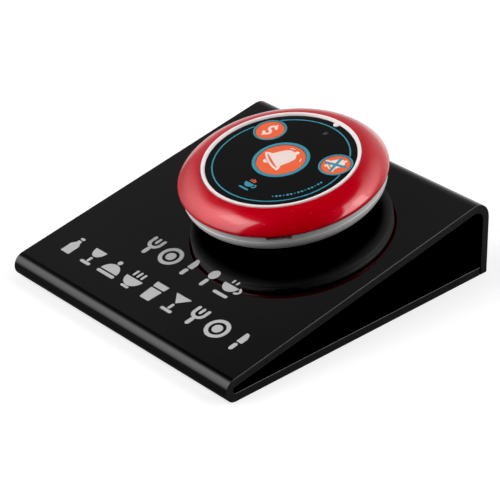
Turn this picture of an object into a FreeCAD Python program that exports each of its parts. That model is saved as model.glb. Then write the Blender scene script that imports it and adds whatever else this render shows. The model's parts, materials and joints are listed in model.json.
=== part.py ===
"""Waiter call button: a round radio push-button unit on a sloping stand of bent acrylic sheet.

Millimetres, +Z up. The origin is the centre of the stand's footprint, on the surface it stands on.
The front, where the sheet is folded tight, is -Y. The button unit is drawn in a frame of its own:
its origin is the foot of the unit's axis on the slope, its y runs up the slope and its z is the
slope's normal. Heights called "level" are measured from the slope along that normal.
"""
import FreeCAD, Part
import math
import os

from FreeCAD import Placement, Rotation, Vector

# ------------------------------------------------------------------ driving sizes

# Stand: one acrylic sheet, folded back on itself at the front and bent down at the back
stand_width = 120.0
stand_depth = 131.7
sheet = 3.5                     # thickness
slope_deg = 10.2                # of the top
front_fold_radius = 4.8         # outside
back_bend_radius = 7.3          # outside
seam_gap = 0.4                  # free end of the floor plate to the back wall
polished_edge = 0.35            # chamfer along the two cut profiles

# Where the button unit sits
unit_from_front = 85.3          # foot of its axis, measured level from the front

# Square adhesive pad under the unit
pad_side = 36.0
pad_height = 1.0
pad_clearance = 0.3             # pad to the walls of its recess
base_gap = 0.3                  # shell's foot to the slope

# Unit outside
unit_radius = 40.0              # widest rim of the red ring
rim_overhang = 1.0              # red rim past the white shell
rim_seam = 0.15                 # red ring's lower edge to the white rim
shell_rim_level = 13.0
rim_side = 0.9                  # dome's edge over the ring's lower edge
shell_wall = 1.8
foot_radius = 28.0
bowl_level = 3.0                # where the foot ends and the bowl begins
band_level = 10.2               # where the bowl ends and the upright band begins
bowl_steps = 3                  # straight steps that stand for the bowl's curve
wall_turn_level = 8.5           # inside, where the upright wall ends
floor_thickness = 1.8           # over the pad's recess
floor_inset = 3.6               # edge of the flat floor inside, from the foot's radius

# Pry notch in the white rim
notch_angle = -46.0
notch_width = 9.5
notch_depth = 1.7

# Snap joint: tongues of the red ring, with a bead each, and their pockets in the shell
tongue_clearance = 0.4          # tongue to the shell's inner wall
tongue_depth = 2.0              # below the white rim
tongue_thickness = 1.6
tongue_width = 9.0
tongue_root = 0.5               # its top inside the ring
tongue_angles = (0.0, 90.0, 180.0, 270.0)
bead_reach = 0.6                # past the tongue
bead_height = 1.0
pocket_room = 0.2               # pocket beyond the bead

# Red ring
bezel_lip = 2.2                 # width of its edge over the white rim
bezel_seat = 5.2                # width of its flat underside, which rests on the shoulder
bezel_gap = 0.25                # to the white ring
dome_level = 19.75              # inner edge of the dome
dome_bulge = 1.2                # rise of the dome's arc over its chord
dome_steps = 3                  # straight steps that stand for the arc

# Upper housing: white ring round the label, deck under it, shoulder outside
label_level = 19.3              # top of the film
ring_proud = 0.8                # white ring above the film
ring_width = 1.2
label_margin = 10.95            # inside of the white ring to the widest rim
housing_wall = 1.5
deck_thickness = 1.5
shoulder_level = 16.0           # the red ring's collar rests on it
shoulder_width = 3.05
tab_angle = 85.5                # locating tab that keys the film
tab_width = 4.6
tab_reach = 1.6
tab_drop = 0.25                 # its top under the ring's top

# Ribs that stand in the shell and carry the housing's shoulder
rib_angles = (45.0, 135.0, 225.0, 315.0)
rib_length = 2.4
rib_width = 3.0
rib_root = 1.6                  # foot of a rib over the bottom of the bowl

# Printed film
film_thickness = 0.4
film_gap = 0.15                 # to the white ring and the tab

# Keys: the call key is in the middle, the small ones stand round it
call_key_radius = 9.4
small_key_radius = 5.6
bill_key_angle = 148.1
bill_key_from_ring = 8.21       # its centre to the inside of the white ring
cancel_key_angle = 26.6
cancel_key_from_ring = 7.36
key_gap = 0.15                  # disc to its hole
key_lug = 1.0                   # reach of the lugs that keep a key under the deck
key_lug_width = 3.0
key_lug_height = 0.8
key_lug_angles = (90.0, 210.0, 330.0)
key_play = 0.05                 # lugs to the deck at rest
key_travel = 0.3

# Tactile switches
switch_side = 6.0
switch_body_height = 3.5
switch_corner = 0.5
plunger_radius = 1.75
plunger_height = 1.15           # above the body
plunger_depth = 1.1             # inside the body
plunger_gap = 0.1

# Circuit board: a regular octagon, held at four of its sides by clips of the housing
board_thickness = 1.6
board_sides = 8
board_gap = 0.25                # board's sides to the clips
board_play = 0.1                # board's underside to the clips' lips
clip_angles = (0.0, 90.0, 180.0, 270.0)
clip_width = 6.0
clip_ledge = 1.2                # reach of the ledge over the board
clip_lip = 0.7                  # reach of the lip under it
clip_lip_height = 1.2

# Status lamp and its window
lamp_x = 1.5
lamp_from_ring = 7.25           # its centre to the inside of the white ring
lamp_radius = 1.5
window_radius = 1.0
window_gap = 0.05               # to the deck and the film
window_tail = 0.7               # window past the underside of the deck, down to the lamp

# Battery, size 23A, lying along X in the board's cut-out
battery_radius = 5.15
battery_length = 28.5           # with its nub
nub_radius = 1.9
nub_length = 1.0
battery_from_side = 13.1        # its axis to the board's lower side
cradle_rise = 1.35              # cradle's lowest point over the floor
cradle_gap = 0.3
cradle_rib = 1.5
cradle_spread = 18.0            # between the two ribs
cradle_reach = 3.6              # ribs' height over their lowest point
cutout_gap = 0.5

# Leaf contacts
leaf = 0.4                      # strip thickness
leaf_width = 7.0
leaf_drop = 4.0                 # below the battery's axis
leaf_spring_gap = 1.4           # between the two legs of the spring contact
leaf_foot = 2.6                 # foot on the board past the cut-out

# Radio parts
chip_length = 8.6
chip_width = 3.9
chip_height = 1.5
chip_x = 12.5
chip_y = -3.4
chip_edge = 0.3
can_length = 5.0
can_height = 1.6
can_x = -12.5
can_y = -3.4
antenna_inset = 2.5             # from the board's sides
antenna_wire_radius = 0.5
antenna_runs = 4                # straight runs, one along each of the board's upper sides
component_length = 2.0
component_width = 1.25
component_height = 0.6
component_pitch = 3.0
front_row_x = 8.5
front_row_y = 2.4
front_row_count = 4
back_row_x = 6.5
back_row_y = 15.6
back_row_count = 3
side_row_x = -9.5
side_row_y = 5.4
side_row_count = 2

# ------------------------------------------------------------------ worked-out sizes

slope = math.radians(slope_deg)
front = -stand_depth / 2
back = stand_depth / 2

recess_side = pad_side + 2 * pad_clearance
floor_level = pad_height + floor_thickness
floor_radius = foot_radius - floor_inset

shell_radius = unit_radius - rim_overhang
shell_inner = shell_radius - shell_wall
bezel_low = shell_rim_level + rim_seam
tongue_outer = shell_inner - tongue_clearance
tongue_low = shell_rim_level - tongue_depth
bead_level = (shell_rim_level + tongue_low) / 2

ring_inner_radius = unit_radius - label_margin
ring_outer = ring_inner_radius + ring_width
bezel_inner = ring_outer + bezel_gap
ring_level = label_level + ring_proud
deck_top = label_level - film_thickness
deck_low = deck_top - deck_thickness
film_radius = ring_inner_radius - film_gap
housing_inner = ring_outer - housing_wall
shoulder_low = shoulder_level - housing_wall
shoulder_radius = ring_outer + shoulder_width

lug_top = deck_low - key_play
lug_low = lug_top - key_lug_height
switch_top = lug_low - plunger_height
board_top = switch_top - switch_body_height
board_low = board_top - board_thickness
board_reach = housing_inner - board_gap         # centre to each side
board_turn = 360 / board_sides

lamp_y = ring_inner_radius - lamp_from_ring
lamp_top = deck_low - window_tail

battery_y = battery_from_side - board_reach
battery_level = floor_level + cradle_rise + cradle_gap + battery_radius
positive_face = battery_length / 2
negative_face = -battery_length / 2
cutout_reach = battery_length / 2 + 2 * leaf + leaf_spring_gap + cutout_gap

# ------------------------------------------------------------------ drawing helpers

class Outline:
    """A closed outline drawn edge by edge in a plane; place turns its two numbers into a point."""

    def __init__(self, place, u, v):
        self.place = place
        self.start = self.here = place(u, v)
        self.edges = []

    def to(self, u, v):
        end = self.place(u, v)
        self.edges.append(Part.LineSegment(self.here, end).toShape())
        self.here = end
        return self

    def arc(self, middle, end):
        middle, end = self.place(*middle), self.place(*end)
        self.edges.append(Part.Arc(self.here, middle, end).toShape())
        self.here = end
        return self

    def face(self):
        if (self.here - self.start).Length > 1e-6:
            self.edges.append(Part.LineSegment(self.here, self.start).toShape())
        return Part.Face(Part.Wire(self.edges))


def radial(radius, level):
    """Point of a section through the unit's axis."""
    return Vector(radius, 0, level)


def across(y, z):
    """Point of the stand's section, at its left cut edge."""
    return Vector(-stand_width / 2, y, z)


def turned(outline, degrees=360.0):
    return outline.face().revolve(Vector(0, 0, 0), Vector(0, 0, 1), degrees)


def disc(x, y, radius, low, high):
    return Part.makeCylinder(radius, high - low, Vector(x, y, low))


def block(x, y, length, width, low, high):
    """Box centred on x, y."""
    return Part.makeBox(length, width, high - low, Vector(x - length / 2, y - width / 2, low))


def spun(shape, degrees):
    """Copy turned about the unit's axis."""
    copy = shape.copy()
    copy.rotate(Vector(0, 0, 0), Vector(0, 0, 1), degrees)
    return copy


def polar(radius, degrees):
    return radius * math.cos(math.radians(degrees)), radius * math.sin(math.radians(degrees))


def slab(outline, width):
    """Piece of this width with the outline as its section, centred on the outline's plane."""
    piece = outline.face().extrude(Vector(0, width, 0))
    piece.translate(Vector(0, -width / 2, 0))
    return piece


KEYS = {
    "call": (0.0, 0.0, call_key_radius),
    "bill": (*polar(ring_inner_radius - bill_key_from_ring, bill_key_angle), small_key_radius),
    "cancel": (*polar(ring_inner_radius - cancel_key_from_ring, cancel_key_angle), small_key_radius),
}


# ------------------------------------------------------------------ stand

def fold_centre():
    return front + front_fold_radius, front_fold_radius


def bend_centre():
    """Centre of the back bend: it touches the slope and the upright back."""
    fold_y, fold_z = fold_centre()
    y = back - back_bend_radius
    lift = (front_fold_radius - back_bend_radius) / math.cos(slope)
    return y, fold_z + (y - fold_y) * math.tan(slope) + lift


def round_point(centre, radius, degrees):
    turn = math.radians(degrees)
    return centre[0] + radius * math.cos(turn), centre[1] + radius * math.sin(turn)


def acrylic_stand():
    fold, bend = fold_centre(), bend_centre()
    normal = 90 + slope_deg
    fold_inside = front_fold_radius - sheet
    bend_inside = back_bend_radius - sheet
    free_end = back - sheet - seam_gap
    section = Outline(across, free_end, 0).to(fold[0], 0)
    section.arc(round_point(fold, front_fold_radius, 180), round_point(fold, front_fold_radius, normal))
    section.to(*round_point(bend, back_bend_radius, normal))
    section.arc(round_point(bend, back_bend_radius, normal / 2), round_point(bend, back_bend_radius, 0))
    section.to(back, 0).to(back - sheet, 0).to(*round_point(bend, bend_inside, 0))
    section.arc(round_point(bend, bend_inside, normal / 2), round_point(bend, bend_inside, normal))
    section.to(*round_point(fold, fold_inside, normal))
    section.arc(round_point(fold, fold_inside, 180), round_point(fold, fold_inside, 270))
    section.to(free_end, sheet)
    stand = section.face().extrude(Vector(stand_width, 0, 0))
    cut_edges = []
    for face in stand.Faces:
        if abs(abs(face.CenterOfMass.x) - stand_width / 2) < 1e-6:
            cut_edges += face.Edges
    return stand.makeChamfer(polished_edge, cut_edges)


def unit_frame():
    """Placement that carries the unit's own frame onto the slope."""
    fold_y, fold_z = fold_centre()
    y = front + unit_from_front
    z = fold_z + (y - fold_y) * math.tan(slope) + front_fold_radius / math.cos(slope)
    return Placement(Vector(0, y, z), Rotation(Vector(1, 0, 0), slope_deg))


# ------------------------------------------------------------------ unit: shells

def mounting_pad():
    return block(0, 0, pad_side, pad_side, 0, pad_height)


def tongues():
    """Snap tongues under the red ring."""
    inner = tongue_outer - tongue_thickness
    top = shoulder_level + tongue_root
    half = bead_height / 2
    section = Outline(radial, inner, top).to(inner, tongue_low).to(tongue_outer, tongue_low)
    section.to(tongue_outer, bead_level - half).to(tongue_outer + bead_reach, bead_level)
    section.to(tongue_outer, bead_level + half).to(tongue_outer, top)
    tongue = slab(section, tongue_width)
    return [spun(tongue, angle) for angle in tongue_angles]


def snap_pockets():
    half = bead_height / 2 + pocket_room
    section = Outline(radial, tongue_outer, bead_level - half)
    section.to(tongue_outer + bead_reach + pocket_room, bead_level).to(tongue_outer, bead_level + half)
    pocket = slab(section, tongue_width + 2 * pocket_room)
    return [spun(pocket, angle) for angle in tongue_angles]


def battery_cradle():
    low = floor_level - floor_thickness / 2
    high = floor_level + cradle_rise + cradle_reach
    bore = battery_radius + cradle_gap
    ribs = [block(side * cradle_spread / 2, battery_y, cradle_rib, 2 * bore, low, high) for side in (-1, 1)]
    start = Vector(-battery_length, battery_y, battery_level)
    hollow = Part.makeCylinder(bore, 2 * battery_length, start, Vector(1, 0, 0))
    return [rib.cut(hollow) for rib in ribs]


def shoulder_ribs():
    root = bowl_level + rib_root
    rib = block(shoulder_radius - rib_length / 2, 0, rib_length, rib_width, root, shoulder_low)
    return [spun(rib, angle) for angle in rib_angles]


def bottom_shell():
    section = Outline(radial, 0, base_gap).to(foot_radius, base_gap)
    for step in range(bowl_steps + 1):
        turn = math.radians(90 * step / bowl_steps)
        section.to(foot_radius + (shell_radius - foot_radius) * math.sin(turn),
                   band_level - (band_level - bowl_level) * math.cos(turn))
    section.to(shell_radius, shell_rim_level).to(shell_inner, shell_rim_level)
    section.to(shell_inner, wall_turn_level)
    section.to(floor_radius, floor_level).to(0, floor_level)
    shell = turned(section).fuse(battery_cradle() + shoulder_ribs())
    recess = block(0, 0, recess_side, recess_side, 0, pad_height)
    notch = block(shell_radius, 0, 4 * shell_wall, notch_width, shell_rim_level - notch_depth,
                  shell_rim_level + notch_depth)
    return shell.cut(snap_pockets() + [recess, spun(notch, notch_angle)])


def dome_circle():
    """Centre and radius of the dome's arc, from its inner edge to the rim."""
    inner = Vector(bezel_inner, 0, dome_level)
    outer = Vector(unit_radius, 0, bezel_low + rim_side)
    chord = outer - inner
    radius = (chord.Length ** 2 / 4 + dome_bulge ** 2) / (2 * dome_bulge)
    outward = Vector(-chord.z, 0, chord.x).normalize()
    return (inner + outer) / 2 - outward * (radius - dome_bulge), radius


def bezel_ring():
    section = Outline(radial, bezel_inner, shoulder_level).to(bezel_inner, dome_level)
    centre, radius = dome_circle()
    first = math.atan2(dome_level - centre.z, bezel_inner - centre.x)
    last = math.atan2(bezel_low + rim_side - centre.z, unit_radius - centre.x)
    for step in range(1, dome_steps):
        turn = first + (last - first) * step / dome_steps
        section.to(centre.x + radius * math.cos(turn), centre.z + radius * math.sin(turn))
    section.to(unit_radius, bezel_low + rim_side).to(unit_radius, bezel_low)
    section.to(unit_radius - bezel_lip, bezel_low).to(bezel_inner + bezel_seat, shoulder_level)
    return turned(section).fuse(tongues())


def locating_tab(grow=0.0):
    """Tab that reaches inward from the white ring; grown, it is the film's notch."""
    tip = ring_inner_radius - tab_reach - grow
    root = ring_inner_radius + ring_width / 2
    tab = block((tip + root) / 2, 0, root - tip, tab_width + 2 * grow, deck_top - deck_thickness / 2,
                ring_level - tab_drop)
    return spun(tab, tab_angle)


def board_clips():
    """Clips that reach down from the deck, each with a ledge on the board and a lip under it."""
    top = deck_low + deck_thickness / 2
    ledge = housing_inner - clip_ledge - board_gap
    lip = board_low - board_play
    section = Outline(radial, ledge, top).to(ledge, board_top).to(housing_inner, board_top)
    section.to(housing_inner, lip).to(housing_inner - clip_lip, lip)
    section.to(housing_inner - clip_lip, lip - clip_lip_height).to(ring_outer, lip - clip_lip_height)
    section.to(ring_outer, top)
    clip = slab(section, clip_width)
    return [spun(clip, angle) for angle in clip_angles]


def upper_housing():
    section = Outline(radial, 0, deck_low).to(housing_inner, deck_low).to(housing_inner, shoulder_low)
    section.to(shoulder_radius, shoulder_low).to(shoulder_radius, shoulder_level)
    section.to(ring_outer, shoulder_level).to(ring_outer, ring_level).to(ring_inner_radius, ring_level)
    section.to(ring_inner_radius, deck_top).to(0, deck_top)
    return turned(section).fuse(board_clips() + [locating_tab()]).cut(deck_holes())


def deck_holes():
    """Openings through the deck and the film for the keys and the lamp's window."""
    low, high = deck_low - deck_thickness, label_level + ring_proud
    holes = [disc(x, y, radius + key_gap, low, high) for x, y, radius in KEYS.values()]
    return holes + [disc(lamp_x, lamp_y, window_radius + window_gap, low, high)]


def label_overlay():
    film = disc(0, 0, film_radius, deck_top, label_level)
    return film.cut(deck_holes() + [locating_tab(grow=film_gap)])


# ------------------------------------------------------------------ unit: keys and switches

def key(x, y, radius):
    """Moving disc, flush with the film, with the lugs that keep it under the deck."""
    lug = block(radius + key_lug / 2 - key_lug_width / 2, 0, key_lug + key_lug_width, key_lug_width,
                lug_low, lug_top)
    cap = disc(0, 0, radius, lug_low, label_level).fuse([spun(lug, angle) for angle in key_lug_angles])
    cap.translate(Vector(x, y, 0))
    return cap.removeSplitter()


def switch_body(x, y):
    body = block(x, y, switch_side, switch_side, board_top, switch_top)
    upright = [edge for edge in body.Edges if abs(edge.tangentAt(edge.FirstParameter).z) > 0.99]
    body = body.makeChamfer(switch_corner, upright)
    well = plunger_depth + 2 * key_travel
    return body.cut(disc(x, y, plunger_radius + plunger_gap, switch_top - well, switch_top))


def switch_plunger(x, y):
    return disc(x, y, plunger_radius, switch_top - plunger_depth, lug_low)


# ------------------------------------------------------------------ unit: board and what it carries

def board_corner(step, inset=0.0):
    """Corner of the board, or of an octagon inside it; counted from the one right of +x."""
    radius = (board_reach - inset) / math.cos(math.radians(board_turn / 2))
    return polar(radius, board_turn * (step - 0.5))


def circuit_board():
    section = Outline(lambda x, y: Vector(x, y, board_low), *board_corner(0))
    for step in range(1, board_sides):
        section.to(*board_corner(step))
    board = section.face().extrude(Vector(0, 0, board_thickness))
    cutout_width = 2 * (battery_radius + cutout_gap)
    return board.cut(block(0, battery_y, 2 * cutout_reach, cutout_width, board_low, board_top))


def led_window():
    """Clear plug through the deck and the film, standing on the lamp."""
    return disc(lamp_x, lamp_y, window_radius, lamp_top, label_level)


def status_led():
    return disc(lamp_x, lamp_y, lamp_radius, board_top, lamp_top)


def battery():
    shoulder = battery_length - nub_length
    section = Outline(radial, 0, 0).to(battery_radius, 0).to(battery_radius, shoulder)
    section.to(nub_radius, shoulder).to(nub_radius, battery_length).to(0, battery_length)
    cell = turned(section)
    lying = Rotation(Vector(0, 1, 0), 90)
    cell.Placement = Placement(Vector(negative_face, battery_y, battery_level), lying)
    return cell


def battery_contact_positive():
    """Plain leaf: one leg down the end of the battery, one foot on the board."""
    near, far = positive_face, cutout_reach + leaf_foot
    low = battery_level - leaf_drop
    section = Outline(lambda x, z: Vector(x, battery_y - leaf_width / 2, z), near, low).to(near + leaf, low)
    section.to(near + leaf, board_top).to(far, board_top).to(far, board_top + leaf)
    section.to(near, board_top + leaf)
    return section.face().extrude(Vector(0, leaf_width, 0))


def battery_contact_negative():
    """Spring leaf: folded back on itself, so that its inner leg presses on the battery."""
    near = negative_face
    outer = near - leaf - leaf_spring_gap
    far = -cutout_reach - leaf_foot
    low = battery_level - leaf_drop
    high = battery_level + leaf_drop / 2
    fold = leaf_spring_gap / 2 + leaf
    middle = near - fold
    section = Outline(lambda x, z: Vector(x, battery_y - leaf_width / 2, z), near, high).to(near, low)
    section.arc((middle, low - fold), (outer - leaf, low))
    section.to(outer - leaf, board_top).to(far, board_top).to(far, board_top + leaf)
    section.to(outer, board_top + leaf).to(outer, low)
    section.arc((middle, low - leaf_spring_gap / 2), (near - leaf, low)).to(near - leaf, high)
    return section.face().extrude(Vector(0, leaf_width, 0))


def chamfered_block(x, y, length, width, height):
    """Block on the board with its top edges chamfered."""
    body = block(x, y, length, width, board_top, board_top + height)
    top = [edge for edge in body.Edges if abs(edge.CenterOfMass.z - board_top - height) < 1e-6]
    return body.makeChamfer(chip_edge, top)


def radio_chip():
    return chamfered_block(chip_x, chip_y, chip_length, chip_width, chip_height)


def saw_resonator():
    return chamfered_block(can_x, can_y, can_length, can_length, can_height)


def antenna_wire():
    """Wire bent in straight runs along the board's sides, lying on it."""
    corners = [Vector(*board_corner(step, antenna_inset), board_top + antenna_wire_radius)
               for step in range(antenna_runs + 1)]
    path = Part.makePolygon(corners)
    circle = Part.Circle(corners[0], corners[1] - corners[0], antenna_wire_radius)
    right_corners = 1
    return path.makePipeShell([Part.Wire(circle.toShape())], True, False, right_corners)


def chip_components():
    rows = ((front_row_x, front_row_y, front_row_count), (back_row_x, back_row_y, back_row_count),
            (side_row_x, side_row_y, side_row_count))
    parts = []
    for first_x, y, count in rows:
        for step in range(count):
            parts.append(block(first_x + step * component_pitch, y, component_length, component_width,
                               board_top, board_top + component_height))
    return Part.makeCompound(parts)


# ------------------------------------------------------------------ the assembly

def unit_pieces():
    pieces = {make.__name__: make() for make in (
        mounting_pad, bottom_shell, bezel_ring, upper_housing, label_overlay, led_window, status_led,
        circuit_board, battery, battery_contact_positive, battery_contact_negative,
        radio_chip, saw_resonator, antenna_wire, chip_components)}
    for name, (x, y, radius) in KEYS.items():
        pieces["key_" + name] = key(x, y, radius)
        pieces["switch_body_" + name] = switch_body(x, y)
        pieces["switch_plunger_" + name] = switch_plunger(x, y)
    return pieces


def main():
    os.makedirs("parts", exist_ok=True)
    acrylic_stand().exportStep("parts/acrylic_stand.step")
    frame = unit_frame()
    for node, shape in unit_pieces().items():
        shape.Placement = frame.multiply(shape.Placement)
        shape.exportStep("parts/" + node + ".step")
    print("unit frame:", frame)


main()
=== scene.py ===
import json
import math

import bmesh
import bpy
from mathutils import Matrix, Vector


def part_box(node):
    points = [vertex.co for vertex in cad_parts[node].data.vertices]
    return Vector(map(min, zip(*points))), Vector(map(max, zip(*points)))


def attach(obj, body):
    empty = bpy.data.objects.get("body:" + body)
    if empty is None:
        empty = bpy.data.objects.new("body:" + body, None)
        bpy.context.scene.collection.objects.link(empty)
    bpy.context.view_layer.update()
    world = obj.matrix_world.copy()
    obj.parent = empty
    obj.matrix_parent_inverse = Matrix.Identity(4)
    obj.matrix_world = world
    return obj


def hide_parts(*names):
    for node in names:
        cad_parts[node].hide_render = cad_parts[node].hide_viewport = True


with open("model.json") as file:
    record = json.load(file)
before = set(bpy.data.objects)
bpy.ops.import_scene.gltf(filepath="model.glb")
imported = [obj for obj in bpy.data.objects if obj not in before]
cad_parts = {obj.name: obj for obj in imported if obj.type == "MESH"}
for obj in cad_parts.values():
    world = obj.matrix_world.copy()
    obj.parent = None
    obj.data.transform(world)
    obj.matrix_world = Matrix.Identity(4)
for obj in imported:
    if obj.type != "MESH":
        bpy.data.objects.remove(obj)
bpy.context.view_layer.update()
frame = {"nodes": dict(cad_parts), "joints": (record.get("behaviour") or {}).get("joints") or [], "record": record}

# Waiter call button: its visible pieces, prints and finishes.
# Lengths are millimetres until a piece is finished, and metres in finishes and in the studio.
# The stand is drawn in the frame's own axes. The button unit has axes of its own: x across, y up
# the slope, z off the slope, from the foot of its axis. A level is a height along that axis.

MM = 0.001
CARRIER = "stand_and_unit"

# ---------------------------------------------------------------- sizes of the stand

sheet = 3.5
slope_deg = 10.2
fold_radius = 4.8               # outside of the front fold
bend_radius = 7.3               # outside of the back bend
seam_gap = 0.4
polished_edge = 0.15
crease = 0.4                    # a crease this near each bend keeps the flats flat
cut_face = 59.75                # past this, left and right, lie the cut faces of the sheet

# ---------------------------------------------------------------- sizes of the button unit

unit_radius = 40.0
foot_radius = 28.0
base_gap = 0.3
bowl_level = 3.0
band_level = 10.2
shell_radius = 39.0
shell_inner = 37.2
shell_rim_level = 13.0
wall_turn_level = 8.5
floor_radius = 24.4
floor_level = 2.8
pad_height = 1.0
recess_side = 36.6
band_groove = 0.25
notch_angle = -46.0
notch_width = 9.5
notch_depth = 1.7
notch_reach = 7.2
foot_round = 0.5
rim_round = 0.3
wall_turn_round = 1.5
floor_round = 2.0
rib_angles = (45.0, 135.0, 225.0, 315.0)
rib_length = 2.4
rib_width = 3.0
rib_low = 4.6
cell_y = -15.4                  # place and level of the battery's axis
cell_level = 9.6
cell_room = 5.45                # radius that the cradle leaves for the battery
sleeve_change = 6.8             # where the battery's sleeve changes colour, and where it ends
sleeve_end = 13.75
cradle_reach = 9.0              # the cradle's two ribs stand this far to each side
cradle_rib = (1.5, 10.9)        # thickness and width
cradle_low = 1.9
cradle_top = 7.75

bezel_low = 13.15
bezel_inner = 30.5
bezel_lip = 37.8
bezel_seat = 35.7
dome_level = 19.75
dome_side_level = 14.05
dome_bulge = 1.2
tongue_inner = 35.2
tongue_outer = 36.8
tongue_low = 11.0
tongue_width = 9.0
tongue_root = 0.5               # how far a tongue reaches up into the ring
bezel_top_round = 0.3
dome_foot_round = 0.5
bezel_low_round = 0.35
bead_reach = 0.6
bead_height = 1.0
bead_level = (shell_rim_level + tongue_low) / 2
pocket_room = 0.2
quarters = (0.0, 90.0, 180.0, 270.0)    # directions of the tongues, pockets and clips

ring_level = 20.1
ring_outer = 30.25
ring_inner = 29.05
ring_round = 0.35
ring_lean = 0.15
ring_lip = 28.75
label_level = 19.3
deck_top = 18.9
deck_low = 17.4
deck_cut = (10, 25)             # levels that a cut through the deck starts and ends at
film_cut = (18, 20)
shoulder_level = 16.0
shoulder_low = 14.5
shoulder_radius = 33.3
housing_inner = 28.75
tab_level = 19.7
tab_angle = 88.0
tab_reach = 28.45
tab_radius = 1.35
tab_round = 0.4
film_radius = 28.9
film_gap = 0.1
board_top = 11.9
board_low = 10.3
board_play = 0.1
clip_ledge = 27.3
clip_lip = 28.05
clip_low = 9.0
clip_width = 6.0

key_low = 16.55
key_edge = 0.12
key_gap = 0.15
lug_top = 17.35
lug_length = 2.0
lug_width = 3.0
lug_angles = (90.0, 210.0, 330.0)
call_key_radius = 9.4
small_key_radius = 5.6


def round_the_axis(degrees, reach):
    """Place at this reach from the unit's axis, in this direction from x towards y."""
    return Matrix.Rotation(math.radians(degrees), 3, "Z") @ Vector((reach, 0, 0))


KEYS = {
    "call": (Vector((0.0, 0.0, 0.0)), call_key_radius),
    "bill": (round_the_axis(148.1, 20.84), small_key_radius),
    "cancel": (round_the_axis(26.6, 21.69), small_key_radius),
}
LAMP = Vector((1.5, 21.8, 0.0))
window_radius = 1.05

ink = 0.03                      # coat of print on the film and the keys
silver_ink = 0.05               # coat of print on the stand
line_radius = 26.0              # the thin ring on the film
line_width = 0.52
line_clear = 6.9                # the thin ring stops this far from a small key's middle
rim_clear = 0.2                 # from a key's edge to the printed rim round it
call_rim = 1.4
small_rim = 0.75
dots = 15                       # in a row round the unit's axis, two large ones for each small
dots_radius = 23.0
dots_start = -51                # degrees
dots_pitch = 3.4                # degrees
large_dot = 0.5
small_dot = 0.32
small_sign = 0.62               # size of the signs that are drawn smaller
film_cup = (2.0, -18.4)
cross_arm = 4.1
cross_width = 1.25

pad_low, pad_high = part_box("mounting_pad")
off_slope = -Vector(frame["joints"][0]["axis"]).normalized()
up_slope = off_slope.cross(Vector((1, 0, 0)))
foot = (pad_low + pad_high) / 2 - off_slope * pad_height * MM / 2
WORLD = Matrix.Scale(MM, 4)
UNIT = (Matrix.Translation(foot)
        @ Matrix((Vector((1, 0, 0)), up_slope, off_slope)).transposed().to_4x4() @ WORLD)


# ---------------------------------------------------------------- bench tools

WELD = 0.0005                   # points nearer than this are one


def turn_z(degrees):
    """Turn about the unit's axis."""
    return Matrix.Rotation(math.radians(degrees), 4, "Z")


def points_in(items):
    """The vertices among what an operator gives back."""
    return [item for item in items if isinstance(item, bmesh.types.BMVert)]


def lines_in(items):
    """The edges among what an operator gives back."""
    return [item for item in items if isinstance(item, bmesh.types.BMEdge)]


def thickened(bm, faces, vector):
    """Grows these faces into a solid along the vector."""
    grown = bmesh.ops.extrude_face_region(bm, geom=faces)["geom"]
    bmesh.ops.translate(bm, vec=vector, verts=points_in(grown))
    return bm


def rounded(bm, items, radius, segments, affect="EDGES"):
    """Rounds edges, or with VERTICES the corners of a flat shape."""
    bmesh.ops.bevel(bm, geom=items, offset=radius, offset_type="OFFSET", affect=affect,
                    segments=segments, profile=0.5, material=-1)


class Pencil:
    """Draws a section in a plane, line by line, for the lathe or a slab."""

    def __init__(self, r, z):
        self.bm = bmesh.new()
        self.tip = self.start = self.bm.verts.new((r, 0, z))
        self.rounds = []

    def to(self, r, z, rounding=0.0):
        """Straight line; rounding is the radius at its far corner."""
        self.tip = bmesh.ops.extrude_vert_indiv(self.bm, verts=[self.tip])["verts"][0]
        self.tip.co = (r, 0, z)
        return self.corner(rounding)

    def corner(self, rounding):
        """Keeps in mind that the corner at the tip is rounded later."""
        if rounding:
            self.rounds.append((self.tip, rounding))
        return self

    def arc(self, r, z, degrees, steps, stretch=1.0):
        """Arc round a centre; stretch pulls its points away from the centre's upright line."""
        before = set(self.bm.verts)
        swept = bmesh.ops.spin(self.bm, geom=[self.tip], cent=(r, 0, z), axis=(0, -1, 0),
                               angle=math.radians(degrees), steps=steps, use_duplicate=False)
        new = [vert for vert in self.bm.verts if vert not in before]
        bmesh.ops.scale(self.bm, vec=(stretch, 1, 1), space=Matrix.Translation((-r, 0, -z)),
                        verts=new)
        self.tip = points_in(swept["geom_last"])[0]
        return self

    def finish_line(self, closed):
        """Joins the tip to the start if it is closed, and rounds the corners."""
        if closed:
            bmesh.ops.contextual_create(self.bm, geom=[self.tip, self.start])
        for vert, rounding in self.rounds:
            rounded(self.bm, [vert], rounding, 5, affect="VERTICES")
        return self.bm

    def lathe(self, steps=288, closed=True):
        """Turns the section into a body; an open one starts and ends on the axis."""
        bm = self.finish_line(closed)
        bmesh.ops.spin(bm, geom=bm.verts[:] + bm.edges[:], cent=(0, 0, 0), axis=(0, 0, 1),
                       angle=math.tau, steps=steps, use_merge=True, use_duplicate=False)
        return cleaned(bm)

    def slab(self, width):
        """Flat piece of this width with the section as its side."""
        bm = self.finish_line(True)
        face = bmesh.ops.contextual_create(bm, geom=bm.edges[:])["faces"]
        thickened(bm, face, (0, width, 0))
        bmesh.ops.translate(bm, vec=(0, -width / 2, 0), verts=bm.verts)
        return cleaned(bm)


def cleaned(bm):
    """Welds the seams and poles, then turns every face outwards."""
    bmesh.ops.remove_doubles(bm, verts=bm.verts, dist=WELD)
    bmesh.ops.dissolve_degenerate(bm, edges=bm.edges, dist=WELD / 5)
    bmesh.ops.recalc_face_normals(bm, faces=bm.faces)
    return bm


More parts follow.
